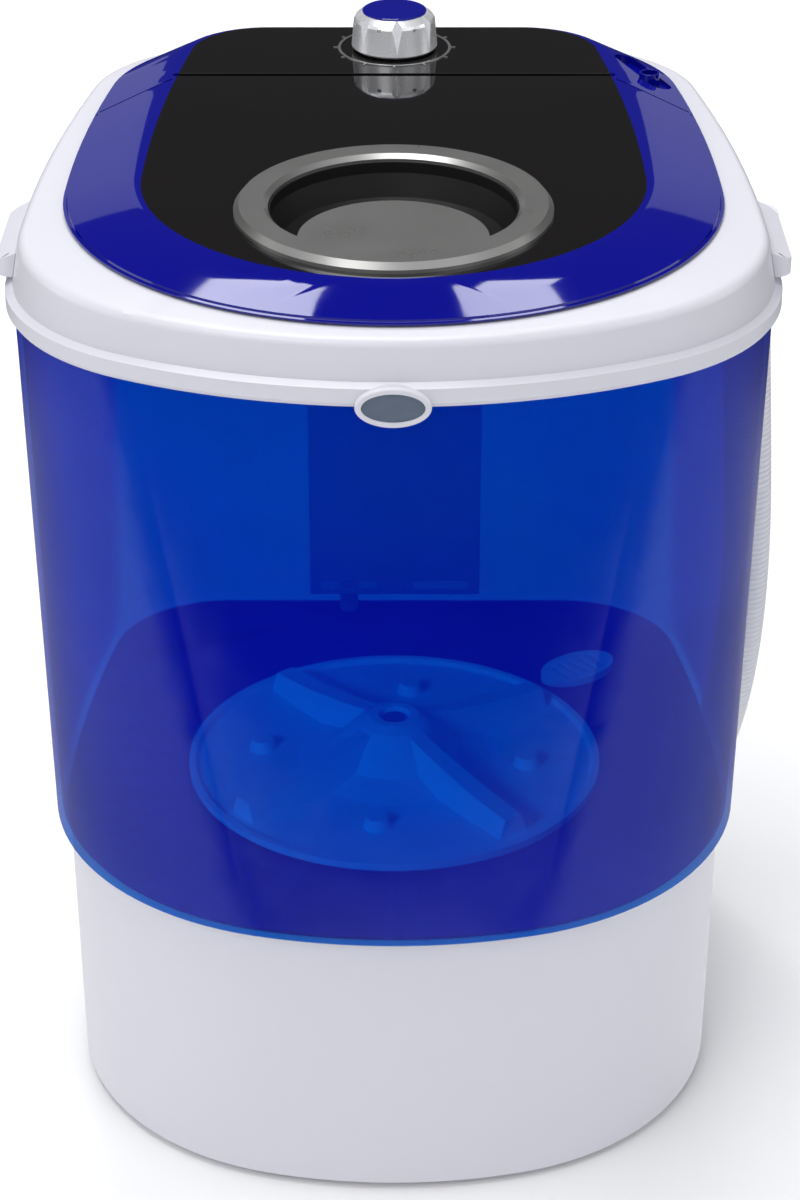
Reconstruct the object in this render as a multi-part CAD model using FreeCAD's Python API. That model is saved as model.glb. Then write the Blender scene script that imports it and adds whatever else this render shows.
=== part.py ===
import FreeCAD, Part
import math
import os
from collections import namedtuple

# Mini top-load washing machine: a single tub with a pulsator in its floor, on a base that
# holds the belt drive, under a collar with a hinged lid and a rear console.
# Millimetres, +Z up.  Everything is drawn with y = 0 near the front and y growing to the
# rear; save() then moves it back by MID_Y, so the origin is the middle of the footprint.

Vector = FreeCAD.Vector

# Heights
FOOT_H = 4.0                       # rubber feet
BASE_TOP = 141.0                   # base walls end, deck begins
BASE_FLARE = -1.8                  # the base is this much wider at its top
TUB_Z = 145.0                      # deck top, tub bottom
TUB_FLOOR = 3.0
BEAD_Z = 412.0                     # lower edge of the collar
BEAD_TOP = 422.5
TUB_TOP = 421.0
TUB_RIM = 3.5                      # the tub's top edge lies this far inside the bead
WALL = 2.5

# The lid and the console lie in one plane that rises gently to the rear
TILT = 2.0
TOP_PIVOT = Vector(0, 116, 454)    # point of the black panels' surface
DECK = -8.6                        # collar deck, measured from that surface
DECK_T = 3.0
BAND_Z = -7.6                      # lower edge of the blue band
RIM_Z = -0.3                       # outer edge of the flat border round the panels

# D-shaped outlines: shallow nose arc, corner arcs, bowed sides, rear corners, flat rear
Plan = namedtuple("Plan", "front nose_r corner_r half_w side_r rear_r rear_y")
BASE_FOOT = Plan(0.0, 240.0, 129.4, 158.0, 900.0, 55.0, 327.0)
TUB_FOOT = Plan(-8.0, 248.0, 137.4, 166.0, 900.0, 60.0, 336.0)
BEAD = Plan(-10.5, 243.0, 108.0, 173.0, 900.0, 58.0, 361.0)
SHOULDER = Plan(-6.2, 285.0, 112.0, 160.6, 1500.0, 90.0, 356.5)
BAND = Plan(4.0, 160.0, 143.0, 149.0, 954.0, 80.0, 358.0)
PANEL = Plan(35.7, 118.0, 113.0, 114.0, 1203.0, 38.0, 355.9)
RIM = Plan(30.7, 123.0, 118.0, 119.0, 1208.0, 43.0, 356.9)   # flat blue border round PANEL
SHOULDER_Z = 472.0                 # height at which SHOULDER is drawn, above the deck
BADGE_FRONT = -13.0
MID_Y = (BADGE_FRONT + BEAD.rear_y) / 2

# Seam between the lid and the console, and the hinge just in front of it
SEAM_Y = 286.3
SEAM_GAP = 1.0
SWING_ROOM = 0.4                   # more room on the band, where the lid's edge swings past
SEAM_HALF = 108.5                  # the seam is straight for this far each side
HORN = ((110.0, 277.0), (170.0, 221.5))
HINGE_R = 3.4                      # rounding of the lid's rear edge about the hinge
HINGE_Y = SEAM_Y - HINGE_R - SEAM_GAP / 2
HINGE_Z = -HINGE_R
PIN_R = 1.25
PIN_ENDS = (98.0, 114.0)           # the pins' inner and outer ends each side

# Round things
MOUTH_Y, MOUTH_R = 153.0, 121.0    # loading mouth in the deck
GRIP_Y, GRIP_HOLE_R = 110.5, 57.0
RING_R, RING_IN_R, RING_H = 70.6, 55.4, 4.4
KNOB_Y, KNOB_R, KNOB_CAP_R, KNOB_H = 325.0, 21.5, 16.0, 19.0
KNOB_HOLE_R, TIMER_SHAFT_R = 3.5, 3.0
SPIN_Y = 146.0                     # pulsator axis
PULSATOR_R, PULSATOR_Z = 101.7, 150.3
SHAFT_R = 5.0
BEARING_R = 9.5                    # outside of the bushes, bore of their housing
SLEEVE_R = 15.0
MOTOR_Y = 262.0
MOTOR_SHAFT_R = 4.0
DRIVEN_R, MOTOR_PULLEY_R = 58.0, 11.0
PULLEY_Z, PULLEY_T = 60.0, 10.0
GROOVE = 5.0
RUN = 0.05                         # radial clearance of running fits
DRAIN = Vector(96, 243, 0)
PIPE_R, SPIGOT_R = 11.0, 12.5      # drain pipe, and the spigot it ends in
INLET = Vector(125.5, 287.5, 0)
INLET_R, INLET_BORE, INLET_TOP = 5.0, 3.8, 0.5
INLET_POCKET = ((115.5, 314.5), (130.5, 281.5))   # ends of the recess it stands in
POCKET_HALF, POCKET_Z = 5.5, -6.6
CONSOLE_POSTS = [(-96, 318), (96, 318), (-62, 344), (62, 344)]

# Drain hose, from its outlet on the base up the right side to the clip under the collar
HOSE_R = 12.0
OUTLET = Vector(153, 279, 30)
HOSE_ROUTE = [
    Vector(160.2, 272.3, 54.1),
    Vector(167.4, 265.6, 78.2),
    Vector(174.6, 259.0, 108.0),
    Vector(179.5, 253.5, 142.0),
    Vector(182.0, 249.5, 182.0),
    Vector(182.0, 247.0, 228.0),
    Vector(179.6, 245.8, 274.0),
    Vector(176.6, 245.0, 318.0),
    Vector(174.2, 244.6, 358.0),
    Vector(174.2, 244.6, 388.0),
]
CUFF_R, CUFF_H = 13.2, 16.0


# ---------------------------------------------------------------- outlines and helpers

def inset(p, t):
    """The same outline moved inwards by t."""
    return Plan(p.front + t, p.nose_r - t, p.corner_r - t, p.half_w - t,
                p.side_r - t, p.rear_r - t, p.rear_y - t)


def arc(centre, radius, start, end):
    """Arc from start to end about centre, the short way round."""
    middle = (start - centre) + (end - centre)
    middle = centre + middle.multiply(radius / middle.Length)
    return Part.Arc(start, middle, end).toShape()


def outline(p, z):
    """Closed wire of a plan at height z, symmetric about x = 0."""
    nose = Vector(0, p.front + p.nose_r, z)
    cx = p.half_w - p.corner_r
    corner = Vector(cx, nose.y - math.sqrt((p.nose_r - p.corner_r) ** 2 - cx ** 2), z)
    side = Vector(p.half_w - p.side_r, corner.y, z)
    ry = p.rear_y - p.rear_r
    rear = Vector(side.x + math.sqrt((p.side_r - p.rear_r) ** 2 - (ry - side.y) ** 2), ry, z)
    a = nose + (corner - nose).normalize() * p.nose_r
    b = Vector(p.half_w, corner.y, z)
    c = side + (rear - side).normalize() * p.side_r
    d = Vector(rear.x, p.rear_y, z)

    def flip(v):
        return Vector(-v.x, v.y, v.z)

    edges = [
        Part.Arc(flip(a), Vector(0, p.front, z), a).toShape(),
        arc(corner, p.corner_r, a, b),
        arc(side, p.side_r, b, c),
        arc(rear, p.rear_r, c, d),
        Part.LineSegment(d, flip(d)).toShape(),
        arc(flip(rear), p.rear_r, flip(d), flip(c)),
        arc(flip(side), p.side_r, flip(c), flip(b)),
        arc(flip(corner), p.corner_r, flip(b), flip(a)),
    ]
    return Part.Wire(edges)


def loft(*sections):
    """Solid through (plan, z) sections."""
    return Part.makeLoft([outline(p, z) for p, z in sections], True, True)


def prism(p, z0, z1):
    return Part.Face(outline(p, z0)).extrude(Vector(0, 0, z1 - z0))


def box(x0, x1, y0, y1, z0, z1):
    return Part.makeBox(x1 - x0, y1 - y0, z1 - z0, Vector(x0, y0, z0))


def cylinder(r, z0, z1, x=0.0, y=0.0):
    return Part.makeCylinder(r, z1 - z0, Vector(x, y, z0))


def tube(r_out, r_in, z0, z1, x=0.0, y=0.0):
    return cylinder(r_out, z0, z1, x, y).cut(cylinder(r_in, z0, z1, x, y))


def rod(r, start, end):
    return Part.makeCylinder(r, (end - start).Length, start, end - start)


def turned(profile, x=0.0, y=0.0):
    """Solid of revolution about the vertical through (x, y); profile is (radius, z) points."""
    points = [Vector(x + r, y, z) for r, z in profile]
    face = Part.Face(Part.makePolygon(points + points[:1]))
    return face.revolve(Vector(x, y, 0), Vector(0, 0, 1), 360)


def polygon_prism(points, z0, z1):
    wire = Part.makePolygon([Vector(x, y, z0) for x, y in points + points[:1]])
    return Part.Face(wire).extrude(Vector(0, 0, z1 - z0))


def tilted(shape):
    """Puts a shape drawn about the top surface (z = 0 there) into the sloping top plane."""
    moved = shape.copy()
    moved.translate(Vector(0, 0, TOP_PIVOT.z))
    moved.rotate(TOP_PIVOT, Vector(1, 0, 0), TILT)
    return moved


def joined(shapes):
    """One solid out of touching or overlapping ones."""
    whole = shapes[0].fuse(shapes[1:]) if len(shapes) > 1 else shapes[0]
    return whole.removeSplitter()


def group(shapes):
    """Separate solids that share a node."""
    return Part.makeCompound(shapes)


def around(shape, count, x, y, first=0.0):
    """Copies of a shape turned evenly about the vertical through (x, y)."""
    copies = []
    for i in range(count):
        turn = shape.copy()
        turn.rotate(Vector(x, y, 0), Vector(0, 0, 1), first + 360.0 * i / count)
        copies.append(turn)
    return copies


def screw(x, y, z_head, length, up=True, head_r=3.2, shank_r=1.6):
    """Pan-head screw; its head lies outside z_head and its shank runs up or down from it."""
    head_h = 2.2
    if up:
        head = cylinder(head_r, z_head - head_h, z_head, x, y)
        shank = cylinder(shank_r, z_head, z_head + length, x, y)
    else:
        head = cylinder(head_r, z_head, z_head + head_h, x, y)
        shank = cylinder(shank_r, z_head - length, z_head, x, y)
    return joined([head, shank])


def bent_path(points):
    """Straight runs joined by tangent arcs as large as the runs allow; returns wire, length."""
    edges, length, start = [], 0.0, points[0]
    for before, point, after in zip(points, points[1:], points[2:]):
        arrive = (point - before).normalize()
        leave = (after - point).normalize()
        turn = arrive.getAngle(leave)
        trim = 0.45 * min((point - before).Length, (after - point).Length)
        radius = trim / math.tan(turn / 2)
        first, last = point - arrive * trim, point + leave * trim
        inward = (leave - arrive).normalize()
        centre = point + inward * math.hypot(radius, trim)
        middle = centre - inward * radius
        edges.append(Part.LineSegment(start, first).toShape())
        edges.append(Part.Arc(first, middle, last).toShape())
        length += (first - start).Length + radius * turn
        print("bend radius %.0f mm, turn %.1f degrees" % (radius, math.degrees(turn)))
        start = last
    edges.append(Part.LineSegment(start, points[-1]).toShape())
    length += (points[-1] - start).Length
    return Part.Wire(edges), length


def pipe(points, radius):
    """Round solid along a bent path, with its volume compared with section times length."""
    path, length = bent_path(points)
    start = points[0]
    section = Part.Wire(Part.makeCircle(radius, start, points[1] - start))
    solid = path.makePipeShell([section], True, False)
    expected = math.pi * radius ** 2 * length
    print("length %.1f mm, volume / (section x length) %.4f" % (length, solid.Volume / expected))
    return solid


# ---------------------------------------------------------------- base and feet

SCREW_SPOTS = [(x, y) for y, half in ((40.0, 104.0), (150.0, 148.0), (305.0, 120.0))
               for x in (-half, half)]
FOOT_SPOTS = [(-104.0, 66.0), (104.0, 66.0), (-96.0, 286.0), (96.0, 286.0)]
GLAND = Vector(-70, 318, 40)       # mains cord entry in the rear wall
GLAND_R, GLAND_BORE, GLAND_LEN = 8.0, 3.5, 16.0


def base_screws():
    return [screw(x, y, FOOT_H + 1.4, 16.0, up=True, head_r=2.8) for x, y in SCREW_SPOTS]


def rubber_feet():
    feet = []
    for x, y in FOOT_SPOTS:
        profile = [(0, 0), (11, 0), (12, 1), (12, FOOT_H), (4, FOOT_H), (4, 10), (0, 10)]
        feet.append(turned(profile, x, y))
    return feet


def base_plate(feet, screws):
    z0, z1 = FOOT_H, FOOT_H + 3.0
    plate = prism(inset(BASE_FOOT, WALL + 0.2), z0, z1)
    slots = [box(x - 3, x + 3, y, y + 44, z0, z1)
             for x in range(-60, 61, 15) for y in (110, 190)]
    sunk = [cylinder(2.8, z0, z0 + 1.4, x, y) for x, y in SCREW_SPOTS]
    return plate.cut(slots + sunk + feet + screws)


def base_housing(cut_by):
    outer = loft((BASE_FOOT, FOOT_H), (inset(BASE_FOOT, BASE_FLARE), BASE_TOP))
    hollow = loft((inset(BASE_FOOT, WALL), FOOT_H), (inset(BASE_FOOT, WALL + BASE_FLARE), BASE_TOP))
    bosses = []
    z0, z1 = FOOT_H + 3.0, 34.0
    for x, y in SCREW_SPOTS:
        boss = cylinder(7.0, z0, z1, x, y)
        wall_side = x + math.copysign(14, x)
        rib = box(min(x, wall_side), max(x, wall_side), y - 2, y + 2, z0, z1)
        bosses.append(boss.fuse(rib).common(outer))
    return joined([outer.cut(hollow)] + bosses).cut(cut_by)


def base_deck(cut_by):
    """Plate on the base's walls that carries the tub above and the drive below."""
    return prism(inset(BASE_FOOT, BASE_FLARE - 1.5), BASE_TOP, TUB_Z).cut(cut_by)


def cord_gland():
    """Strain-relief gland in the rear wall; its bore is where a mains cord enters."""
    rear = Vector(0, 1, 0)
    outer = rod(GLAND_R, GLAND, GLAND + rear * GLAND_LEN)
    flange = rod(GLAND_R + 3, GLAND + rear * 9.8, GLAND + rear * 12.8)
    return joined([outer, flange]).cut(rod(GLAND_BORE, GLAND, GLAND + rear * GLAND_LEN))


# ---------------------------------------------------------------- tub

def tub_outer():
    return loft((TUB_FOOT, TUB_Z), (inset(BEAD, TUB_RIM), TUB_TOP))


def tub_inner():
    return loft((inset(TUB_FOOT, WALL), TUB_Z + TUB_FLOOR), (inset(BEAD, TUB_RIM + WALL), TUB_TOP))


def wash_tub(cut_by):
    return tub_outer().cut(tub_inner()).cut(cut_by)


COVER_HALF, COVER_Y, COVER_Z0, COVER_Z1 = 46.0, 308.0, 160.0, 415.0
CONDUIT = Vector(-25, 316, 0)      # upright tube behind the cover, for the wires
CONDUIT_R, CABLE_R = 5.0, 2.6


def conduit_hole():
    return cylinder(CONDUIT_R, 60, TUB_TOP, CONDUIT.x, CONDUIT.y)


def overflow_cover():
    """Channel cover on the tub's rear wall, with two slots at its lower end."""
    skin = 2.0
    block = box(-COVER_HALF, COVER_HALF, COVER_Y, 360, COVER_Z0, COVER_Z1)
    hollow = box(skin - COVER_HALF, COVER_HALF - skin, COVER_Y + skin, 360,
                 COVER_Z0 + skin, COVER_Z1)
    slots = [box(x, x + 30, COVER_Y, COVER_Y + skin, COVER_Z0 + 4, COVER_Z0 + 8)
             for x in (-40, 10)]
    return block.common(tub_inner()).cut([hollow, conduit_hole()] + slots)


def wire_conduit():
    return tube(CONDUIT_R, CABLE_R + 1.0, BASE_TOP, 418.0, CONDUIT.x, CONDUIT.y)


STRAINER_ANGLE = 36.0


def drain_strainer():
    """Oval ribbed cover over the drain hole in the tub floor."""
    floor = TUB_Z + TUB_FLOOR
    half_len, half_w, height = 22.0, 13.0, 4.0
    oval = Part.Ellipse(Vector(0, 0, floor), half_len, half_w).toShape()
    solid = Part.Face(Part.Wire(oval)).extrude(Vector(0, 0, height))
    slots = [box(x - 1.2, x + 1.2, -8, 8, floor, floor + height) for x in range(-12, 13, 6)]
    solid = solid.cut(slots)
    solid.rotate(Vector(0, 0, 0), Vector(0, 0, 1), STRAINER_ANGLE)
    solid.translate(DRAIN)
    return solid


def drain_way():
    """Centre of the drain pipe's foot, the point where it meets the outlet, its direction."""
    foot = Vector(DRAIN.x, DRAIN.y, OUTLET.z)
    along = (OUTLET - foot).normalize()
    return foot, OUTLET - along * 14, along


def drain_pipe():
    """Elbow from the tub's drain hole down to the outlet on the base's right side."""
    bore = 9.0
    foot, end, _ = drain_way()
    down = cylinder(PIPE_R, foot.z, TUB_Z + TUB_FLOOR, foot.x, foot.y)
    knee = Part.makeSphere(PIPE_R, foot)
    out = rod(PIPE_R, foot, end)
    inner = [cylinder(bore, foot.z, TUB_Z + TUB_FLOOR, foot.x, foot.y),
             Part.makeSphere(bore, foot), rod(bore, foot, end)]
    return joined([down, knee, out]).cut(inner)


def hose_outlet(hollow=True):
    """Spigot that turns the drain up and outwards; the hose starts at its end."""
    _, start, _ = drain_way()
    body = joined([rod(SPIGOT_R, start, OUTLET), Part.makeSphere(SPIGOT_R, OUTLET),
                   rod(10.5, OUTLET, HOSE_ROUTE[0])])
    if not hollow:
        return body
    bore = 8.0
    return body.cut([rod(bore, start, OUTLET), Part.makeSphere(bore, OUTLET),
                     rod(bore, OUTLET, HOSE_ROUTE[0])])


def hose_cuff():
    """Plain end fitting on the upper end of the hose."""
    end = HOSE_ROUTE[-1]
    cuff = cylinder(CUFF_R, end.z, end.z + CUFF_H, end.x, end.y)
    return cuff.cut(cylinder(9.5, end.z + 3.0, end.z + CUFF_H, end.x, end.y))


LUG_TIP = 176.5


def hose_clip():
    """Open C-shaped clip on the tub's side that holds the hose under the collar."""
    z0, z1, x, y = 366.0, 378.0, 174.0, 244.6
    ring = tube(15.0, HOSE_R + 0.4, z0, z1, x, y)
    beyond = box(LUG_TIP, 200, y - 20, y + 20, z0, z1)
    return ring.cut([beyond, tub_outer()])


# ---------------------------------------------------------------- collar

def collar_solid():
    """Outer form of the collar: proud bead below, sloping face, rounded shoulder, deck."""
    low_edge, high_edge, step = BEAD_Z + 2.0, BEAD_TOP - 2.0, inset(BEAD, 3.0)
    bead = [loft((inset(BEAD, 1.5), BEAD_Z), (BEAD, low_edge)),
            prism(BEAD, low_edge, high_edge),
            loft((BEAD, high_edge), (step, BEAD_TOP))]
    face = loft((step, high_edge), (SHOULDER, SHOULDER_Z))
    above = tilted(box(-250, 250, -60, 420, DECK, 80))
    face = face.cut(above)
    deck_normal = tilted_normal()
    rim = [e for f in face.Faces if is_deck(f, deck_normal) for e in f.Edges]
    face = face.makeFillet(4.5, rim)
    return joined([face] + bead)


def tilted_normal():
    a = math.radians(TILT)
    return Vector(0, -math.sin(a), math.cos(a))


def is_deck(face, normal):
    """True for the sloping top face."""
    u0, u1, v0, v1 = face.ParameterRange
    return face.normalAt((u0 + u1) / 2, (v0 + v1) / 2).getAngle(normal) < 0.01


SPLASH = (30.0, 301.0, 349.0, -42.0)   # half width, y range and depth of the timer's box


def console_screws():
    return [tilted(screw(x, y, DECK - DECK_T, 9.0)) for x, y in CONSOLE_POSTS]


def top_collar(solid, cut_by):
    below_rim = prism(inset(BEAD, TUB_RIM), BEAD_Z - 1, TUB_TOP)
    hollow = loft((inset(BEAD, TUB_RIM + WALL), TUB_TOP - 1), (inset(SHOULDER, 3.0), SHOULDER_Z))
    hollow = hollow.cut(tilted(box(-250, 250, -60, 420, DECK - DECK_T, 80)))
    mouth = tilted(cylinder(MOUTH_R, -60, 20, 0, MOUTH_Y))
    half, y0, y1, _ = SPLASH
    timer_hole = tilted(box(2 - half, half - 2, y0 + 2, y1 - 2, -20, 0))
    shell = solid.cut([below_rim, hollow, mouth, timer_hole])
    splash_ring = tilted(tube(MOUTH_R + 2.5, MOUTH_R, -26, DECK - DECK_T, 0, MOUTH_Y))
    return joined([shell, splash_ring]).cut(cut_by)


def splash_box():
    """Box under the deck that keeps water off the timer."""
    half, y0, y1, depth = SPLASH
    outer = box(-half, half, y0, y1, depth, DECK - DECK_T)
    inner = box(2 - half, half - 2, y0 + 2, y1 - 2, depth + 2, DECK - DECK_T)
    cable_way = cylinder(CABLE_R + 0.6, 400, 430, CONDUIT.x, CONDUIT.y)
    return tilted(outer.cut(inner)).cut(cable_way)


def carry_lug(side, collar):
    """Finger ledge on the collar's side for lifting the machine."""
    y0, y1, z0, z1 = 103.0, 170.0, 425.0, 437.0
    block = box(150, LUG_TIP, y0, y1, z0, z1)
    upright = [e for e in block.Edges if abs(e.tangentAt(e.FirstParameter).z) > 0.9
               and e.CenterOfMass.x > LUG_TIP - 1]
    block = block.makeFillet(7.5, upright)
    slope = Part.Face(Part.makePolygon([Vector(166, 0, z1), Vector(LUG_TIP + 1, 0, z1 - 5.0),
                                        Vector(LUG_TIP + 1, 0, z1 + 1), Vector(166, 0, z1 + 1),
                                        Vector(166, 0, z1)])).extrude(Vector(0, 400, 0))
    under = box(171, LUG_TIP - 2.0, y0 + 6, y1 - 6, z0, z0 + 5)
    lug = block.cut([slope, under])
    if side < 0:
        lug = lug.mirror(Vector(0, 0, 0), Vector(1, 0, 0))
    return largest(lug.cut(collar))


def largest(shape):
    return max(shape.Solids, key=lambda s: s.Volume)


def oval(half_w, half_h, y0, y1, z):
    """Upright elliptical prism, its faces square to Y."""
    ring = Part.Ellipse(Vector(0, 0, 0), half_w, half_h).toShape()
    solid = Part.Face(Part.Wire(ring)).extrude(Vector(0, 0, y1 - y0))
    solid.rotate(Vector(0, 0, 0), Vector(1, 0, 0), 90)
    solid.translate(Vector(0, y1, z))
    return solid


BADGE_Z = 413.0


def badge_rim(behind):
    rim = oval(16.0, 9.0, BADGE_FRONT, 0, BADGE_Z)
    edge = [e for e in rim.Edges if e.Length > 40 and e.CenterOfMass.y < BADGE_FRONT + 0.1]
    rim = rim.makeFillet(1.2, edge)
    rim = rim.cut(oval(13.3, 6.4, BADGE_FRONT, BADGE_FRONT + 1.5, BADGE_Z))
    return largest(rim.cut(behind))


def badge_plate():
    return oval(13.3, 6.4, BADGE_FRONT + 0.5, BADGE_FRONT + 1.5, BADGE_Z)


# ---------------------------------------------------------------- lid and console

def blue_top():
    """Sloping band and the plate under the black panels, as one hollow form."""
    ledge, slope_foot, lip = inset(BAND, 1.5), inset(BAND, 1.9), BAND_Z + 0.8
    outer = joined([prism(BAND, BAND_Z, lip),
                    loft((BAND, lip), (ledge, lip + 0.3)),
                    loft((ledge, lip + 0.3), (slope_foot, lip + 1.1)),
                    loft((slope_foot, lip + 1.1), (RIM, RIM_Z)),
                    loft((RIM, RIM_Z), (PANEL, 0))])
    hollow = loft((inset(BAND, 3.4), BAND_Z - 0.01), (inset(PANEL, 1.0), -4.2))
    return outer, outer.cut(hollow)


def front_region(gap):
    """Everything in front of the seam, held back by gap."""
    (hx, hy), (ex, ey) = HORN
    right = [(ex, -80), (ex, ey - gap), (hx, hy - gap), (SEAM_HALF, hy + 1.6 - gap),
             (SEAM_HALF, SEAM_Y - gap)]
    left = [(-x, y) for x, y in reversed(right)]
    return polygon_prism(right + left, -60, 40)


def rear_edge_tool():
    """What lies behind the lid's rounded rear edge."""
    x = SEAM_HALF + 0.2
    behind = box(-x, x, HINGE_Y, HINGE_Y + 30, -30, 10)
    return behind.cut(rod(HINGE_R, Vector(-x, HINGE_Y, HINGE_Z), Vector(x, HINGE_Y, HINGE_Z)))


def pin_rods(radius, extra=0.0):
    """A rod on the hinge axis each side, longer than the pins by extra at both ends."""
    x0, x1 = PIN_ENDS[0] - extra, PIN_ENDS[1] + extra
    return [rod(radius, Vector(s * x0, HINGE_Y, HINGE_Z), Vector(s * x1, HINGE_Y, HINGE_Z))
            for s in (-1, 1)]


def hinge_pins():
    return [tilted(p) for p in pin_rods(PIN_R)]


def panel_solid():
    return prism(PANEL, -2.0, 0)


def lid_frame():
    outer, shell = blue_top()
    bar_half = SEAM_HALF - 1.0
    bar = rod(HINGE_R, Vector(-bar_half, HINGE_Y, HINGE_Z), Vector(bar_half, HINGE_Y, HINGE_Z))
    skirt = tube(118.0, 116.0, -17, -4.2, 0, MOUTH_Y)
    frame = joined([shell.common(front_region(SEAM_GAP / 2)), bar, skirt])
    frame = frame.cut([panel_solid(), rear_edge_tool(),
                       cylinder(GRIP_HOLE_R, -30, 10, 0, GRIP_Y)])
    frame = frame.cut(pin_rods(PIN_R + RUN, 0.5))
    return tilted(largest(frame))


def lid_panel():
    panel = panel_solid().common(front_region(SEAM_GAP / 2))
    panel = panel.cut([rear_edge_tool(), cylinder(GRIP_HOLE_R, -30, 10, 0, GRIP_Y)])
    return tilted(largest(panel))


def pocket_form(half_width, z0, z1):
    """Slot with round ends between the two ends of the inlet's recess."""
    (xa, ya), (xb, yb) = INLET_POCKET
    along = Vector(xb - xa, yb - ya, 0)
    middle = box(0, along.Length, -half_width, half_width, z0, z1)
    middle.rotate(Vector(0, 0, 0), Vector(0, 0, 1), math.degrees(math.atan2(along.y, along.x)))
    middle.translate(Vector(xa, ya, 0))
    ends = [cylinder(half_width, z0, z1, xa, ya), cylinder(half_width, z0, z1, xb, yb)]
    return joined([middle] + ends)


def console_frame(cut_by):
    outer, shell = blue_top()
    near, far = SEAM_HALF + 1, SEAM_HALF + 8.5
    ears = [box(-far, -near, 274, 292, BAND_Z, 0), box(near, far, 274, 292, BAND_Z, 0)]
    posts = [cylinder(4.0, DECK, -3.0, x, y) for x, y in CONSOLE_POSTS]
    pocket_walls = pocket_form(POCKET_HALF + 1.6, BAND_Z, 0)
    frame = joined([shell, outer.common(group(ears)), outer.common(pocket_walls)] + posts)
    frame = frame.cut([front_region(-SEAM_GAP / 2 - SWING_ROOM), panel_solid(),
                       cylinder(KNOB_HOLE_R, -30, 10, 0, KNOB_Y),
                       cylinder(INLET_R, -30, 10, INLET.x, INLET.y),
                       pocket_form(POCKET_HALF, POCKET_Z, 10)])
    frame = frame.cut(pin_rods(PIN_R))
    return tilted(largest(frame)).cut(cut_by)


def console_panel():
    knob_hole = cylinder(KNOB_HOLE_R, -30, 10, 0, KNOB_Y)
    panel = panel_solid().cut([front_region(-SEAM_GAP / 2), knob_hole])
    return tilted(largest(panel))


def inlet_spout():
    """Upright nipple for the fill hose; its bore leads down into the tub."""
    return tilted(tube(INLET_R, INLET_BORE, -20, INLET_TOP, INLET.x, INLET.y))


def grip_ring():
    rim_z = 1.0
    profile = [(RING_R, 0), (RING_R, 1.6), (RING_R - 2.3, RING_H), (RING_IN_R + 2.2, RING_H),
               (RING_IN_R, RING_H - 2.0), (RING_IN_R, rim_z), (66.5, rim_z), (66.5, 0)]
    return tilted(turned(profile, 0, GRIP_Y))


def grip_bowl():
    """Finger bowl under the ring."""
    profile = [(66.4, 0), (66.4, 1.0), (54.6, 1.0), (54.6, -4), (50, -14), (40, -20), (26, -22),
               (0, -22), (0, -24), (27, -24), (41.5, -21.8), (51.8, -15), (56.8, -4.5), (56.8, 0)]
    return tilted(turned(profile, 0, GRIP_Y))


def grip_plate():
    """Half-moon plate over the front of the bowl, level with the ring's lower inner edge."""
    moon = cylinder(41.4, 1.0, 2.4, 0, 74.2)
    return tilted(moon.common(cylinder(RING_IN_R, 1.0, 2.4, 0, GRIP_Y)))


# ---------------------------------------------------------------- timer and knob

def timer_body():
    case = box(-21, 21, 307, 343, -32, -4.2)
    return tilted(case.cut(cylinder(TIMER_SHAFT_R, -26, 0, 0, KNOB_Y)))


def timer_shaft():
    return tilted(cylinder(TIMER_SHAFT_R - RUN, -26, 13.0, 0, KNOB_Y))


def dial_ring():
    outer = 28.35
    ring = tube(outer, outer - 1.3, 0, 0.4, 0, KNOB_Y)
    tick = box(-0.5, 0.5, KNOB_Y - outer - 2.2, KNOB_Y - outer + 0.3, 0, 0.4)
    ticks = around(tick, 12, 0, KNOB_Y)
    return tilted(joined([ring] + ticks))


FLUTES, FIRST_FLUTE = 7, 4.0      # number, and the front one's turn in degrees


def knob_body():
    """Slightly tapered knob: wide V flutes that run out at its foot, small notches between."""
    z0, shoulder, rim_r = 1.0, KNOB_H - 2.6, KNOB_CAP_R + 1.0
    body = turned([(0, z0), (KNOB_R - 0.9, z0), (KNOB_R, z0 + 1.0), (KNOB_R - 1.2, shoulder - 1.2),
                   (KNOB_R - 1.9, shoulder + 0.3), (rim_r + 0.7, KNOB_H - 0.6), (rim_r, KNOB_H),
                   (0, KNOB_H)], 0, KNOB_Y)
    front = KNOB_Y - KNOB_R
    groove = Part.makeLoft([
        Part.makePolygon([Vector(-w, front - 6, z), Vector(w, front - 6, z), Vector(0, y, z),
                          Vector(-w, front - 6, z)])
        for w, y, z in ((4.0, front - 0.1, z0 + 1.5), (12.0, front + 5.3, KNOB_H + 1.0))],
        True, True)
    notch = box(-1.1, 1.1, front, front + 3.6, shoulder - 2.6, shoulder - 0.9)
    cuts = (around(groove, FLUTES, 0, KNOB_Y, FIRST_FLUTE)
            + around(notch, FLUTES, 0, KNOB_Y, FIRST_FLUTE + 180.0 / FLUTES))
    socket = cylinder(TIMER_SHAFT_R - RUN, z0, 13.0, 0, KNOB_Y)
    return tilted(body.cut(cuts + [socket]))


def knob_cap():
    """Flat coloured disc that fills the knob's top."""
    disc = turned([(0, KNOB_H), (KNOB_CAP_R, KNOB_H), (KNOB_CAP_R, KNOB_H + 0.5),
                   (KNOB_CAP_R - 0.5, KNOB_H + 1.0), (0, KNOB_H + 1.0)], 0, KNOB_Y)
    return tilted(disc)


# ---------------------------------------------------------------- pulsator and drive

VANES, FIRST_VANE = 4, 38.0        # number, and the first one's direction in degrees


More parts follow.
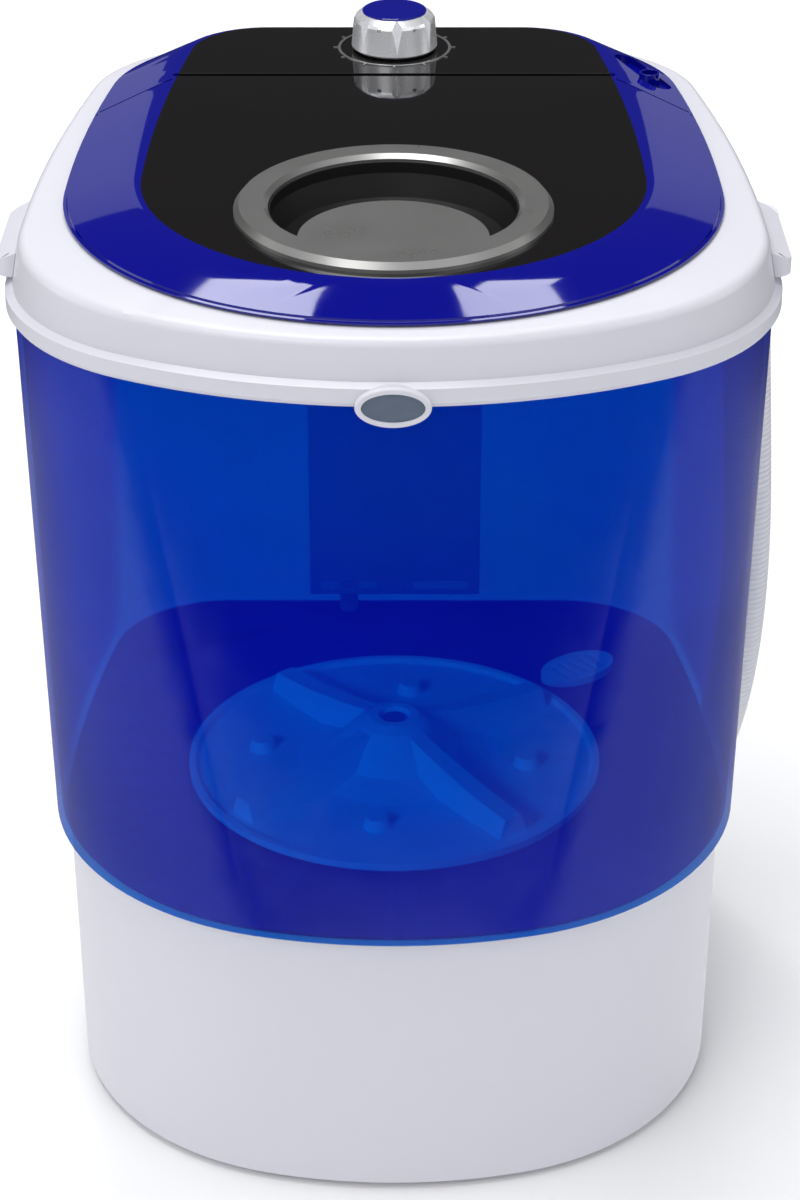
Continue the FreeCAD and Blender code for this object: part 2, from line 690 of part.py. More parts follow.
def vane_form(z):
    """Radial ridge that falls from the hub and ends in a raised toe."""
    wires = []
    for x, top, foot_half, crest_half in ((12, 25, 11.0, 4.0), (34, 20, 11.5, 4.5),
                                          (64, 15, 11.0, 5.0), (92, 12.5, 9.0, 5.0)):
        points = [(-foot_half, z + 1), (foot_half, z + 1), (crest_half, z + top),
                  (-crest_half, z + top)]
        ring = [Vector(x, SPIN_Y + y, height) for y, height in points + points[:1]]
        wires.append(Part.makePolygon(ring))
    return Part.makeLoft(wires, True, True)


def pulsator(cut_by):
    """Ribbed disc with a raised hub, four vanes and a low knob between each two."""
    z = PULSATOR_Z
    disc = turned([(0, z), (PULSATOR_R - 1.5, z), (PULSATOR_R, z + 1.5), (PULSATOR_R, z + 5),
                   (PULSATOR_R - 3, z + 5), (PULSATOR_R - 5, z + 3), (48, z + 4.5), (32, z + 9),
                   (17, z + 25), (12, z + 27.5), (8, z + 27.5), (7, z + 24), (0, z + 24)], 0, SPIN_Y)
    low_knob = Part.makeCone(8.0, 5.0, 8.0, Vector(66, SPIN_Y, z + 1))
    parts = (around(vane_form(z), VANES, 0, SPIN_Y, FIRST_VANE)
             + around(low_knob, VANES, 0, SPIN_Y, FIRST_VANE + 45.0))
    return joined([disc] + parts).cut(cut_by)


def pulsator_screw():
    return screw(0, SPIN_Y, PULSATOR_Z + 24, 14.0, up=False, head_r=5.5, shank_r=2.5)


SHAFT_TOP = PULSATOR_Z + 18.0


def drive_shaft(cut_by):
    return cylinder(SHAFT_R, 46.0, SHAFT_TOP, 0, SPIN_Y).cut(cut_by)


def pulley(radius, bore, y, hub_r):
    """Grooved pulley with a raised hub."""
    z0, z1 = PULLEY_Z, PULLEY_Z + PULLEY_T
    profile = [(bore, z0), (radius, z0), (radius, z0 + 2), (radius - GROOVE, z0 + 2.2),
               (radius - GROOVE, z1 - 2.2), (radius, z1 - 2), (radius, z1), (hub_r, z1),
               (hub_r, z1 + 5), (bore, z1 + 5)]
    return turned(profile, 0, y)


def driven_pulley():
    solid = pulley(DRIVEN_R, SHAFT_R, SPIN_Y, 12.0)
    pocket = cylinder(13.0, PULLEY_Z, PULLEY_Z + PULLEY_T, 32.0, SPIN_Y)
    return solid.cut(around(pocket, 5, 0, SPIN_Y))


def pulley_nut():
    hexagon = [(9 * math.cos(math.radians(60 * i)), SPIN_Y + 9 * math.sin(math.radians(60 * i)))
               for i in range(6)]
    return polygon_prism(hexagon, PULLEY_Z - 7, PULLEY_Z).cut(cylinder(SHAFT_R, 0, 100, 0, SPIN_Y))


def drive_belt():
    """Flat-sided belt round both pulleys, lying in their grooves."""
    z0, height, inner_gap, outer_gap = PULLEY_Z + 2.6, PULLEY_T - 5.2, 0.4, 0.2

    def loop(extra):
        r1, r2 = DRIVEN_R + extra, MOTOR_PULLEY_R + extra
        lean = math.asin((r1 - r2) / (MOTOR_Y - SPIN_Y))
        c, s = math.cos(lean), math.sin(lean)
        a, b = Vector(r1 * c, SPIN_Y + r1 * s, z0), Vector(r2 * c, MOTOR_Y + r2 * s, z0)
        fa, fb = Vector(-a.x, a.y, z0), Vector(-b.x, b.y, z0)
        return Part.Face(Part.Wire([
            Part.LineSegment(a, b).toShape(),
            Part.Arc(b, Vector(0, MOTOR_Y + r2, z0), fb).toShape(),
            Part.LineSegment(fb, fa).toShape(),
            Part.Arc(fa, Vector(0, SPIN_Y - r1, z0), a).toShape()]))

    face = loop(outer_gap).cut(loop(inner_gap - GROOVE))
    return face.extrude(Vector(0, 0, height))


def bearing_housing():
    """Flanged sleeve under the deck that carries the drive shaft."""
    flange = cylinder(36, BASE_TOP - 5, BASE_TOP, 0, SPIN_Y)
    sleeve = cylinder(SLEEVE_R, 92, TUB_Z + TUB_FLOOR, 0, SPIN_Y)
    return joined([flange, sleeve]).cut(cylinder(BEARING_R, 92, TUB_Z + TUB_FLOOR, 0, SPIN_Y))


def bearing_screws():
    one = screw(28, SPIN_Y, BASE_TOP - 5, 8.0)
    return around(one, 4, 0, SPIN_Y, 45.0)


def shaft_bearings():
    return [tube(BEARING_R, SHAFT_R + RUN, z, z + 14, 0, SPIN_Y) for z in (93, 122)]


def shaft_seal():
    return tube(BEARING_R, SHAFT_R + RUN, 138, TUB_Z + TUB_FLOOR, 0, SPIN_Y)


MOTOR_R, MOTOR_Z0, MOTOR_Z1 = 42.0, 76.0, 134.0


def motor_body():
    shell = cylinder(MOTOR_R, MOTOR_Z0, MOTOR_Z1, 0, MOTOR_Y)
    ribs = around(box(MOTOR_R - 2, MOTOR_R + 2, MOTOR_Y - 2, MOTOR_Y + 2, 84, 126), 8, 0, MOTOR_Y)
    whole = joined([shell] + ribs)
    return whole.cut([cylinder(28.0, 82, 130, 0, MOTOR_Y),
                      cylinder(MOTOR_SHAFT_R + RUN, MOTOR_Z0, MOTOR_Z1, 0, MOTOR_Y)])


def motor_rotor():
    return joined([cylinder(MOTOR_SHAFT_R, 55, 132, 0, MOTOR_Y),
                   cylinder(27.4, 84, 114, 0, MOTOR_Y)])


def motor_fan():
    hub = tube(9, MOTOR_SHAFT_R, 116, 126, 0, MOTOR_Y)
    blade = box(8, 25, MOTOR_Y - 0.8, MOTOR_Y + 0.8, 116, 126)
    return joined([hub] + around(blade, 8, 0, MOTOR_Y))


BRACKET_SPOTS = [(-56, 232), (56, 232), (-56, 292), (56, 292)]


def motor_bracket(cut_by):
    plate = box(-64, 64, 224, 300, MOTOR_Z1, MOTOR_Z1 + 3)
    return plate.cut(cut_by)


def motor_grommets():
    return [tube(7.0, 2.5, MOTOR_Z1 + 3, BASE_TOP, x, y) for x, y in BRACKET_SPOTS]


def motor_bolts():
    return [screw(x, y, MOTOR_Z1, 10.5, head_r=4.5, shank_r=2.5) for x, y in BRACKET_SPOTS]


def capacitor():
    can = cylinder(17, FOOT_H + 3, 74, -100, 230)
    terminals = [box(-104 + 6 * i, -102 + 6 * i, 226, 234, 74, 82) for i in range(2)]
    return joined([can] + terminals)


def wiring_harness():
    """Cable from the timer down the conduit to the motor."""
    points = [CONDUIT + Vector(0, 0, 424), CONDUIT + Vector(0, 0, 118),
              CONDUIT + Vector(0, -16, 100)]
    return pipe(points, CABLE_R)


# ---------------------------------------------------------------- assembly

def save(name, shape):
    shape = shape.copy()
    shape.translate(Vector(0, -MID_Y, 0))
    shape.exportStep("parts/%s.step" % name)
    box_ = shape.BoundBox
    print("%-16s solids %2d volume %9.0f valid %s  x %7.1f %7.1f  y %7.1f %7.1f  z %6.1f %6.1f"
          % (name, len(shape.Solids), shape.Volume, shape.isValid(), box_.XMin, box_.XMax,
             box_.YMin, box_.YMax, box_.ZMin, box_.ZMax))


def main():
    os.makedirs("parts", exist_ok=True)
    feet = rubber_feet()
    plate_screws = base_screws()
    hub_screws = bearing_screws()
    bolts = motor_bolts()
    top_screws = console_screws()
    tub = tub_outer()
    collar = collar_solid()
    centre_screw = pulsator_screw()
    through_deck = [cylinder(SLEEVE_R, 60, 200, 0, SPIN_Y), cylinder(PIPE_R, 60, 200, DRAIN.x, DRAIN.y),
                    conduit_hole()]
    inlet_hole = tilted(cylinder(INLET_R, -60, 0, INLET.x, INLET.y))
    drain_foot, _, _ = drain_way()
    wall_holes = [hose_outlet(hollow=False), rod(SPIGOT_R, drain_foot, OUTLET),
                  rod(GLAND_R, GLAND, GLAND + Vector(0, GLAND_LEN, 0))]

    nodes = {
        "base_housing": base_housing(wall_holes + plate_screws),
        "base_deck": base_deck(through_deck + hub_screws + bolts),
        "base_plate": base_plate(feet, plate_screws),
        "base_screws": group(plate_screws),
        "rubber_feet": group(feet),
        "cord_gland": cord_gland(),
        "wash_tub": wash_tub(through_deck + hub_screws + bolts),
        "overflow_cover": overflow_cover(),
        "wire_conduit": wire_conduit(),
        "wiring_harness": wiring_harness(),
        "drain_strainer": drain_strainer(),
        "drain_pipe": drain_pipe(),
        "hose_outlet": hose_outlet(),
        "hose_clip": hose_clip(),
        "drain_hose": pipe(HOSE_ROUTE, HOSE_R),
        "hose_cuff": hose_cuff(),
        "top_collar": top_collar(collar, top_screws + [inlet_hole]),
        "carry_lug_left": carry_lug(-1, collar),
        "carry_lug_right": carry_lug(1, collar),
        "badge_rim": badge_rim([collar, tub]),
        "badge_plate": badge_plate(),
        "splash_box": splash_box(),
        "console_frame": console_frame(top_screws),
        "console_panel": console_panel(),
        "console_screws": group(top_screws),
        "hinge_pins": group(hinge_pins()),
        "inlet_spout": inlet_spout(),
        "dial_ring": dial_ring(),
        "timer_body": timer_body(),
        "lid_frame": lid_frame(),
        "lid_panel": lid_panel(),
        "grip_ring": grip_ring(),
        "grip_plate": grip_plate(),
        "grip_bowl": grip_bowl(),
        "timer_shaft": timer_shaft(),
        "knob_body": knob_body(),
        "knob_cap": knob_cap(),
        "pulsator": pulsator([centre_screw, cylinder(SHAFT_R, 0, SHAFT_TOP, 0, SPIN_Y)]),
        "pulsator_screw": centre_screw,
        "drive_shaft": drive_shaft([centre_screw]),
        "driven_pulley": driven_pulley(),
        "pulley_nut": pulley_nut(),
        "drive_belt": drive_belt(),
        "bearing_housing": bearing_housing().cut(hub_screws),
        "bearing_screws": group(hub_screws),
        "shaft_bearings": group(shaft_bearings()),
        "shaft_seal": shaft_seal(),
        "motor_body": motor_body(),
        "motor_rotor": motor_rotor(),
        "motor_fan": motor_fan(),
        "motor_pulley": pulley(MOTOR_PULLEY_R, MOTOR_SHAFT_R, MOTOR_Y, 8.0),
        "motor_bracket": motor_bracket(bolts),
        "motor_grommets": group(motor_grommets()),
        "motor_bolts": group(bolts),
        "capacitor": capacitor(),
    }
    for name, shape in nodes.items():
        save(name, shape)


main()
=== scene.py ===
import bpy
import bmesh
import math
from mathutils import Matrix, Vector


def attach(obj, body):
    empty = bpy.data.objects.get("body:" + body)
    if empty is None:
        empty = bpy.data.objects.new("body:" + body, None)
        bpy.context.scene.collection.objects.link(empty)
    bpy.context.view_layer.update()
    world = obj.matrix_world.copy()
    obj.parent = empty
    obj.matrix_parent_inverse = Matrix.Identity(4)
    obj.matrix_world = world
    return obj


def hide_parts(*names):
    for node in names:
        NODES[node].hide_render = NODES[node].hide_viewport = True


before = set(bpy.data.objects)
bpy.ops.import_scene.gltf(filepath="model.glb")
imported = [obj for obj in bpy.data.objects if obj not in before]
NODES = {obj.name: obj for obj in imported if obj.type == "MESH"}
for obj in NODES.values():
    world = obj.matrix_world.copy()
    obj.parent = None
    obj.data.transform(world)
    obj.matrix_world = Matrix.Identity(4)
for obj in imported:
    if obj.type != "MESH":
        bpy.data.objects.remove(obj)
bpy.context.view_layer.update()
MM = 0.001

# ---------------------------------------------------------------- camera

CAMERA_PLACE = Vector((0.0028, -1.3137, 0.9136))
CAMERA_TILT = math.radians(62.4)      # 90 degrees would look level
CAMERA_LENS = 90.0
SENSOR_WIDTH = 36.0
VIEW_DEPTH = 50.0


def make_camera():
    data = bpy.data.cameras.new("camera")
    data.lens = CAMERA_LENS
    data.sensor_width = SENSOR_WIDTH
    data.clip_end = VIEW_DEPTH
    camera = bpy.data.objects.new("camera", data)
    camera.location = CAMERA_PLACE
    camera.rotation_euler = (CAMERA_TILT, 0.0, 0.0)
    bpy.context.scene.collection.objects.link(camera)
    bpy.context.scene.camera = camera


# ---------------------------------------------------------------- node helpers

def set_range(node, start, end, low, high):
    """A Map Range node takes start..end to low..high."""
    for name, number in zip(("From Min", "From Max", "To Min", "To Max"), (start, end, low, high)):
        node.inputs[name].default_value = number


class Material:
    """A Principled material whose sockets can be driven by procedural patterns."""

    def __init__(self, name):
        self.data = bpy.data.materials.new(name)
        self.data.use_nodes = True
        self.tree = self.data.node_tree
        self.tree.nodes.clear()
        self.shader = self.node("ShaderNodeBsdfPrincipled")
        self.output = self.node("ShaderNodeOutputMaterial")
        self.link(self.shader.outputs["BSDF"], self.output.inputs["Surface"])
        self.place = self.node("ShaderNodeTexCoord").outputs["Object"]

    def node(self, kind, **values):
        made = self.tree.nodes.new(kind)
        for name, value in values.items():
            setattr(made, name, value)
        return made

    def link(self, start, end):
        self.tree.links.new(start, end)

    def set(self, **values):
        for name, value in values.items():
            socket = self.shader.inputs[name.replace("_", " ")]
            socket.default_value = (*value, 1.0) if isinstance(value, tuple) else value
        return self

    def stretched(self, scale):
        """The object's coordinates, stretched along each axis."""
        mapping = self.node("ShaderNodeMapping")
        mapping.inputs["Scale"].default_value = scale
        self.link(self.place, mapping.inputs["Vector"])
        return mapping.outputs["Vector"]

    def noise(self, scale, detail=3.0, roughness=0.55, where=None):
        noise = self.node("ShaderNodeTexNoise")
        noise.inputs["Scale"].default_value = scale
        noise.inputs["Detail"].default_value = detail
        noise.inputs["Roughness"].default_value = roughness
        self.link(where or self.place, noise.inputs["Vector"])
        return noise.outputs["Fac"]

    def cells(self, scale):
        cells = self.node("ShaderNodeTexVoronoi")
        cells.inputs["Scale"].default_value = scale
        self.link(self.place, cells.inputs["Vector"])
        return cells.outputs["Distance"]

    def remap(self, value, low, high, start=0.3, end=0.7):
        ramp = self.node("ShaderNodeMapRange")
        set_range(ramp, start, end, low, high)
        self.link(value, ramp.inputs["Value"])
        return ramp.outputs["Result"]

    def blend(self, value, first, second):
        """Colour between first and second."""
        mix = self.node("ShaderNodeMix", data_type="RGBA")
        self.link(value, mix.inputs["Factor"])
        mix.inputs["A"].default_value = (*first, 1.0)
        mix.inputs["B"].default_value = (*second, 1.0)
        return mix.outputs["Result"]

    def colour(self, value, first, second):
        self.link(self.blend(value, first, second), self.shader.inputs["Base Color"])
        return self

    def rough(self, value, low, high):
        self.link(self.remap(value, low, high), self.shader.inputs["Roughness"])
        return self

    def bump(self, height, distance, strength=1.0, after=None):
        bump = self.node("ShaderNodeBump")
        bump.inputs["Distance"].default_value = distance
        bump.inputs["Strength"].default_value = strength
        self.link(height, bump.inputs["Height"])
        if after is not None:
            self.link(after, bump.inputs["Normal"])
        self.link(bump.outputs["Normal"], self.shader.inputs["Normal"])
        return bump.outputs["Normal"]


def near(colour, share):
    """A colour a little lighter or darker."""
    return tuple(min(1.0, c * share) for c in colour)


MOTTLE = 14.0             # noise scales: colour, gloss, the skin's grain and slow waves
GLOSS_PATCHES = 45.0
SKIN_GRAIN = 1400.0
WAVES = 9.0
WAVE_HEIGHT = 0.6 * MM
COAT_ROUGHNESS = 0.06


def moulded(name, colour, rough=(0.28, 0.36), grain=0.00003, coat=0.0, unevenness=0.02, wave=0.02):
    """Injection-moulded plastic: faint mottling, uneven gloss, a fine skin and slight waviness."""
    m = Material(name)
    m.colour(m.noise(MOTTLE), near(colour, 1 - unevenness), near(colour, 1 + unevenness))
    m.rough(m.noise(GLOSS_PATCHES), *rough)
    fine = m.bump(m.noise(SKIN_GRAIN, detail=2.0), grain, 0.5) if grain else None
    if wave:
        m.bump(m.noise(WAVES, detail=0.0), WAVE_HEIGHT, wave, after=fine)
    m.set(Coat_Weight=coat, Coat_Roughness=COAT_ROUGHNESS)
    return m


# ---------------------------------------------------------------- materials

def white_shell():
    return moulded("white_gloss_plastic", (0.66, 0.66, 0.72), rough=(0.30, 0.34), coat=0.08,
                   unevenness=0.006, wave=0.0)


def blue_band():
    return moulded("blue_gloss_plastic", (0.001, 0.002, 0.21), rough=(0.03, 0.05), grain=0.0,
                   unevenness=0.04, wave=0.1)


def black_panel():
    return moulded("black_gloss_plastic", (0.005, 0.004, 0.0045), rough=(0.03, 0.06), grain=0.0,
                   unevenness=0.1)


def silver_trim():
    """Satin silver paint on plastic."""
    m = Material("satin_silver")
    m.colour(m.noise(40.0), (0.42, 0.42, 0.405), (0.435, 0.435, 0.42))
    m.rough(m.noise(35.0), 0.27, 0.31)
    m.set(Metallic=0.85)
    m.bump(m.noise(12.0, detail=0.0), 0.0002, 0.05)
    return m


def knob_silver():
    """Satin silver plating on the knob's plastic."""
    m = Material("plated_silver")
    m.colour(m.noise(60.0), (0.88, 0.89, 0.91), (0.92, 0.93, 0.95))
    m.rough(m.noise(80.0), 0.24, 0.30)
    m.set(Metallic=0.6)
    m.bump(m.noise(30.0, detail=0.0), 0.0001, 0.05)
    return m


def badge_grey():
    """Brushed foil: the brushing runs from side to side."""
    m = Material("badge_foil")
    brushed = m.noise(900.0, where=m.stretched((0.12, 1.0, 1.0)))
    m.colour(brushed, (0.19, 0.24, 0.32), (0.23, 0.28, 0.37))
    m.rough(brushed, 0.28, 0.40)
    m.set(Metallic=0.6)
    m.bump(brushed, 0.00001, 0.5)
    return m


TUB_CLEAR = (0.002, 0.56, 0.80)       # tint of one face, seen square on
TUB_DEEP = (0.001, 0.06, 0.45)        # the same seen edgeways, through more plastic
TUB_SHARE = (0.25, 0.31)              # share of the wall's surface that is not clear
TUB_IOR = 1.9


def blue_tub():
    """Tinted see-through wall: a clear blue share and a milky glossy share."""
    m = moulded("tinted_blue_wall", (0.0005, 0.008, 0.70), rough=(0.06, 0.09), grain=0.0,
                unevenness=0.08, wave=0.25)
    m.set(IOR=TUB_IOR)
    facing = m.node("ShaderNodeLayerWeight")
    facing.inputs["Blend"].default_value = 0.5
    edge = m.remap(facing.outputs["Facing"], 0.0, 1.0, start=0.55, end=0.95)
    clear = m.node("ShaderNodeBsdfTransparent")
    m.link(m.blend(edge, TUB_CLEAR, TUB_DEEP), clear.inputs["Color"])
    mix = m.node("ShaderNodeMixShader")
    m.link(m.remap(m.noise(7.0), *TUB_SHARE), mix.inputs["Fac"])
    m.link(clear.outputs["BSDF"], mix.inputs[1])
    m.link(m.shader.outputs["BSDF"], mix.inputs[2])
    m.link(mix.outputs["Shader"], m.output.inputs["Surface"])
    return m


def pulsator_blue():
    return moulded("pulsator_plastic", (0.12, 0.97, 0.98), rough=(0.22, 0.35), unevenness=0.02)


def hose_white():
    return moulded("hose_polythene", (0.72, 0.73, 0.78), rough=(0.35, 0.5), grain=0.00002)


def rubber_grey():
    m = Material("rubber")
    m.colour(m.noise(150.0), (0.030, 0.030, 0.032), (0.055, 0.055, 0.058))
    m.rough(m.noise(200.0), 0.6, 0.8)
    m.bump(m.noise(1500.0), 0.00005, 0.6)
    return m


def white_inner():
    return moulded("white_inner_plastic", (0.70, 0.71, 0.76), rough=(0.4, 0.52), grain=0.00005)


def black_inner():
    return moulded("black_inner_plastic", (0.008, 0.0075, 0.008), rough=(0.5, 0.6), grain=0.00002,
                   unevenness=0.2).set(IOR=1.3)


def steel():
    m = Material("zinc_plated_steel")
    m.colour(m.cells(700.0), (0.42, 0.42, 0.41), (0.56, 0.56, 0.55))
    m.rough(m.noise(500.0), 0.28, 0.45)
    m.set(Metallic=1.0)
    m.bump(m.noise(900.0), 0.00002, 0.5)
    return m


def cast_motor():
    m = Material("painted_motor_case")
    m.colour(m.noise(120.0), (0.10, 0.11, 0.12), (0.16, 0.17, 0.18))
    m.rough(m.noise(200.0), 0.4, 0.6)
    m.set(Metallic=0.5)
    m.bump(m.noise(700.0), 0.0001, 0.6)
    return m


def copper_bush():
    m = Material("sintered_bronze")
    m.colour(m.noise(600.0), (0.42, 0.22, 0.10), (0.58, 0.32, 0.16))
    m.rough(m.noise(400.0), 0.35, 0.55)
    m.set(Metallic=1.0)
    m.bump(m.cells(2500.0), 0.00003, 0.5)
    return m


EDGES = {                              # width of each moulding's rounded edges, in mm
    "top_collar": 0.9, "base_housing": 0.6, "base_deck": 0.5, "lid_frame": 0.35,
    "console_frame": 0.35, "lid_panel": 0.25, "console_panel": 0.25,
    "badge_rim": 0.5, "carry_lug_left": 1.2, "carry_lug_right": 1.2,
    "overflow_cover": 0.8,
    "hose_cuff": 0.6, "hose_clip": 0.5, "inlet_spout": 0.3, "drain_strainer": 0.5,
}


WELD_REACH = 0.01 * MM
SHARP = math.radians(28.0)             # faces that meet at more than this have an edge


def round_edges():
    """Mouldings have small radii on their edges, which catch the light."""
    for name, width in EDGES.items():
        node = NODES[name]
        kept = node.data.attributes.get("custom_normal")
        if kept is not None:
            node.data.attributes.remove(kept)
        for face in node.data.polygons:
            face.use_smooth = True
        weld = node.modifiers.new("weld", "WELD")
        weld.merge_threshold = WELD_REACH
        bevel = node.modifiers.new("edges", "BEVEL")
        bevel.width = width * MM
        bevel.segments = 2
        bevel.limit_method = "ANGLE"
        bevel.angle_limit = SHARP
        bevel.harden_normals = True


def finish_nodes():
    """Each CAD node takes the material made for its slot."""
    makers = [white_shell, blue_tub, blue_band, black_panel, silver_trim, knob_silver, badge_grey,
              pulsator_blue, hose_white, rubber_grey, white_inner, black_inner, steel, cast_motor,
              copper_bush]
    made = {maker.__name__: maker().data for maker in makers}
    for node in NODES.values():
        for place in node.material_slots:
            place.material = made[place.material.name.split(".")[0]]
    return made


# ---------------------------------------------------------------- drain hose

HOSE_DIAMETER = 24 * MM
HOSE_ROUTE = [
    (0.1602, 0.0983, 0.0541),
    (0.1674, 0.0916, 0.0782),
    (0.1746, 0.0850, 0.1080),
    (0.1795, 0.0795, 0.1420),
    (0.1820, 0.0755, 0.1820),
    (0.1820, 0.0730, 0.2280),
    (0.1796, 0.0718, 0.2740),
    (0.1766, 0.0710, 0.3180),
    (0.1742, 0.0706, 0.3580),
    (0.1742, 0.0706, 0.3880),
]
RIB_PITCH = 2.9 * MM
RIB_DEPTH = 1.2 * MM
RIB_FULLNESS = 0.6                     # below 1 the ribs are rounder than the grooves
RIB_STEPS = 6                          # rings of points in each rib
PLAIN_END = 9 * MM                     # length without ribs at both ends
PLAIN_FADE = 2 * MM
HOSE_SIDES = 40


def route_line():
    """The hose's centreline: points read from the NURBS spline of its route."""
    curve = bpy.data.curves.new("route", "CURVE")
    curve.dimensions = "3D"
    spline = curve.splines.new("NURBS")
    spline.points.add(len(HOSE_ROUTE) - 1)
    for point, place in zip(spline.points, HOSE_ROUTE):
        point.co = (*place, 1.0)
    spline.order_u = 3
    spline.use_endpoint_u = True
    spline.resolution_u = 24
    holder = bpy.data.objects.new("route", curve)
    bpy.context.scene.collection.objects.link(holder)
    line = bpy.data.meshes.new_from_object(holder)
    points = [v.co.copy() for v in line.vertices]
    bpy.data.objects.remove(holder)
    return points


def stations(points, step):
    """Points and directions every step along a line."""
    found = []
    walked, due = 0.0, 0.0
    for start, end in zip(points, points[1:]):
        run = (end - start).length
        while due <= walked + run and run > 0:
            found.append((start.lerp(end, (due - walked) / run), (end - start).normalized()))
            due += step
        walked += run
    found.append((points[-1], (points[-1] - points[-2]).normalized()))
    return found, walked


def hose_radius(step, length):
    """The radius swells once each pitch, between plain ends."""
    walked = min(step * RIB_PITCH / RIB_STEPS, length)
    swell = abs(math.sin(math.pi * step / RIB_STEPS)) ** RIB_FULLNESS
    from_end = min(walked, length - walked) - PLAIN_END
    ribbed = min(1.0, max(0.0, from_end / PLAIN_FADE))
    return HOSE_DIAMETER / 2 - RIB_DEPTH * (1 - swell) * ribbed


def hose_mesh(points):
    """Corrugated tube along the points, closed at both ends."""
    line, length = stations(points, RIB_PITCH / RIB_STEPS)
    mesh = bmesh.new()
    side = Vector((1.0, 0.0, 0.0))
    turns = [2 * math.pi * k / HOSE_SIDES for k in range(HOSE_SIDES)]
    rings = []
    for step, (centre, along) in enumerate(line):
        side = (side - along * side.dot(along)).normalized()
        other = along.cross(side)
        radius = hose_radius(step, length)
        rings.append([mesh.verts.new(centre + (side * math.cos(t) + other * math.sin(t)) * radius)
                      for t in turns])
    for lower, upper in zip(rings, rings[1:]):
        for k in range(HOSE_SIDES):
            n = (k + 1) % HOSE_SIDES
            mesh.faces.new((lower[k], lower[n], upper[n], upper[k]))
    mesh.faces.new(list(reversed(rings[0])))
    mesh.faces.new(rings[-1])
    for face in mesh.faces:
        face.smooth = len(face.verts) == 4
    data = bpy.data.meshes.new("drain_hose_ribbed")
    mesh.to_mesh(data)
    mesh.free()
    return data


def make_hose(material):
    points = route_line()
    data = hose_mesh(points)
    data.materials.append(material)
    hose = bpy.data.objects.new("drain_hose_ribbed", data)
    bpy.context.scene.collection.objects.link(hose)
    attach(hose, "cabinet")
    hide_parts("drain_hose")


# ---------------------------------------------------------------- room and light

FLOOR_REACH = 12.0


def make_floor():
    """White paper under the object; the gloss sees the room's painted paper instead."""
    m = Material("floor_paper")
    m.colour(m.noise(3.0), (0.97, 0.97, 0.97), (0.98, 0.98, 0.98))
    m.rough(m.noise(30.0), 0.7, 0.8)
    mesh = bpy.data.meshes.new("floor")
    corners = ((-1, -1), (1, -1), (1, 1), (-1, 1))
    mesh.from_pydata([(x * FLOOR_REACH, y * FLOOR_REACH, 0) for x, y in corners], [], [(0, 1, 2, 3)])
    mesh.materials.append(m.data)
    floor = bpy.data.objects.new("floor", mesh)
    bpy.context.scene.collection.objects.link(floor)
    floor.visible_glossy = False


def softbox(name, place, aim, size, power, colour=(1.0, 1.0, 1.0), mirrored=True):
    """Area lamp; one that isn't mirrored lights things without showing in their gloss."""
    data = bpy.data.lights.new(name, "AREA")
    data.shape = "RECTANGLE"
    data.size, data.size_y = size
    data.energy = power
    data.color = colour
    lamp = bpy.data.objects.new(name, data)
    lamp.location = place
    lamp.visible_camera = False
    lamp.visible_glossy = mirrored
    lamp.rotation_euler = (Vector(aim) - Vector(place)).to_track_quat("-Z", "Y").to_euler()
    bpy.context.scene.collection.objects.link(lamp)
    return lamp


def lamp_for(names, lamp):
    """Lets a lamp light only the named nodes."""
    lit = bpy.data.collections.new(lamp.name)
    for name in names:
        lit.objects.link(NODES[name])
    lamp.light_linking.receiver_collection = lit


WORLD_FRONT, WORLD_REAR = 0.65, 0.07      # how bright the room is before and behind the object
ROOM_TURN = (-0.5, 0.7)                   # where along Y the one becomes the other
ROOM_COLOUR = (0.96, 0.97, 1.0, 1.0)
PAPER_TILT = 0.2                          # the white paper's far edge rises to the sides
PAPER_EDGE = -0.375                       # how far down that edge lies, and how soft it is
PAPER_SOFT = 0.03
PAPER_FADE = (-0.44, -0.38)               # the paper dims towards the horizon
PAPER_DIM = 0.15
PAPER_BRIGHT, BEYOND_PAPER = 1.0, 0.015


def smooth_ramp(tree, value, start, end, low, high):
    node = tree.nodes.new("ShaderNodeMapRange")
    node.interpolation_type = "SMOOTHSTEP"
    set_range(node, start, end, low, high)
    tree.links.new(value, node.inputs["Value"])
    return node.outputs["Result"]


def combine(tree, operation, first, second):
    """A Math node; each value is a number or another node's output."""
    node = tree.nodes.new("ShaderNodeMath")
    node.operation = operation
    for socket, value in zip(node.inputs, (first, second)):
        if isinstance(value, float):
            socket.default_value = value
        else:
            tree.links.new(value, socket)
    return node.outputs["Value"]


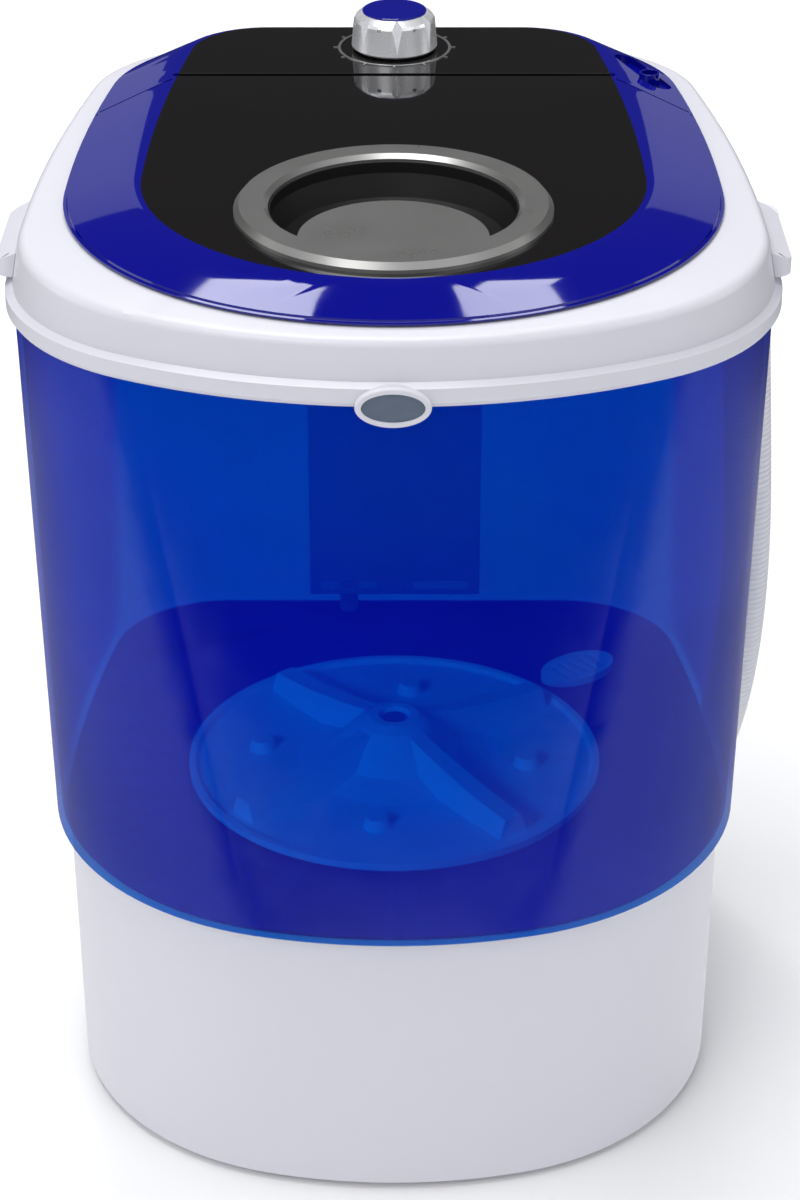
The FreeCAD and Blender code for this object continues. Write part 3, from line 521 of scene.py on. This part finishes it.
def make_world():
    """A pale room, dim behind the object; below the horizon, white paper on a dark ground."""
    world = bpy.data.worlds.new("studio")
    world.use_nodes = True
    tree = world.node_tree
    way = tree.nodes.new("ShaderNodeTexCoord").outputs["Generated"]
    parts = tree.nodes.new("ShaderNodeSeparateXYZ")
    tree.links.new(way, parts.inputs["Vector"])
    y, z = parts.outputs["Y"], parts.outputs["Z"]
    room = smooth_ramp(tree, y, *ROOM_TURN, WORLD_FRONT, WORLD_REAR)
    drop = combine(tree, "SUBTRACT", z, combine(tree, "MULTIPLY", y, PAPER_TILT))
    near_side, far_side = PAPER_EDGE - PAPER_SOFT, PAPER_EDGE + PAPER_SOFT
    paper = smooth_ramp(tree, drop, near_side, far_side, PAPER_BRIGHT, BEYOND_PAPER)
    paper = combine(tree, "MULTIPLY", paper, smooth_ramp(tree, z, *PAPER_FADE, 1.0, PAPER_DIM))
    below = combine(tree, "LESS_THAN", z, 0.0)
    above = combine(tree, "SUBTRACT", 1.0, below)
    upper = combine(tree, "MULTIPLY", room, above)
    lower = combine(tree, "MULTIPLY", paper, below)
    back = tree.nodes["Background"]
    back.inputs["Color"].default_value = ROOM_COLOUR
    tree.links.new(combine(tree, "ADD", upper, lower), back.inputs["Strength"])
    bpy.context.scene.world = world


MIDDLE = (0.0, 0.0, 0.25)
PALE_BLUE = (0.93, 0.94, 1.0)


def make_room_lights():
    """Soft light from above and the front, and on the floor behind."""
    softbox("overhead", (-0.35, 0.0, 2.7), MIDDLE, (1.6, 1.5), 36)
    softbox("key_front", (-1.1, -1.9, 2.2), MIDDLE, (1.4, 1.2), 15)
    softbox("fill_front", (1.5, -1.5, 1.4), MIDDLE, (1.2, 1.4), 3)
    softbox("rear", (0.0, 2.6, 2.6), MIDDLE, (1.6, 0.9), 14, mirrored=False)
    softbox("far_floor", (0.0, 3.4, 3.6), (0.0, 2.6, 0.0), (3.0, 1.2), 60, mirrored=False)
    for side in (-1, 1):
        softbox("side_%d" % side, (side * 2.2, 0.2, 0.9), MIDDLE, (0.9, 1.2), 4.5)


def make_gloss_lights():
    """Small softboxes whose images lie on the glossy blue band."""
    softbox("band_left", (-0.46, 1.71, 2.42), (-0.055, -0.13, 0.45), (0.36, 0.38), 3.2, PALE_BLUE)
    softbox("band_right", (0.36, 1.73, 2.42), (0.065, -0.13, 0.45), (0.25, 0.38), 2.0, PALE_BLUE)
    for side in (-1, 1):
        softbox("slope_%d" % side, (side * 0.83, 2.27, 1.22), (side * 0.13, 0, 0.45), (0.6, 0.8),
                0.6, PALE_BLUE)


def make_inner_light():
    """The pulsator and strainer get light of their own, as they lie behind tinted walls."""
    lamp = softbox("inner", (-1.0, -1.3, 1.0), (0.0, 0.0, 0.13), (0.3, 0.3), 55, mirrored=False)
    lamp_for(("pulsator", "pulsator_screw", "drain_strainer"), lamp)


# ---------------------------------------------------------------- the whole

def main():
    make_camera()
    round_edges()
    made = finish_nodes()
    make_hose(made["hose_white"])
    make_floor()
    make_room_lights()
    make_gloss_lights()
    make_inner_light()
    make_world()
    bpy.context.scene.view_settings.view_transform = "Standard"


main()
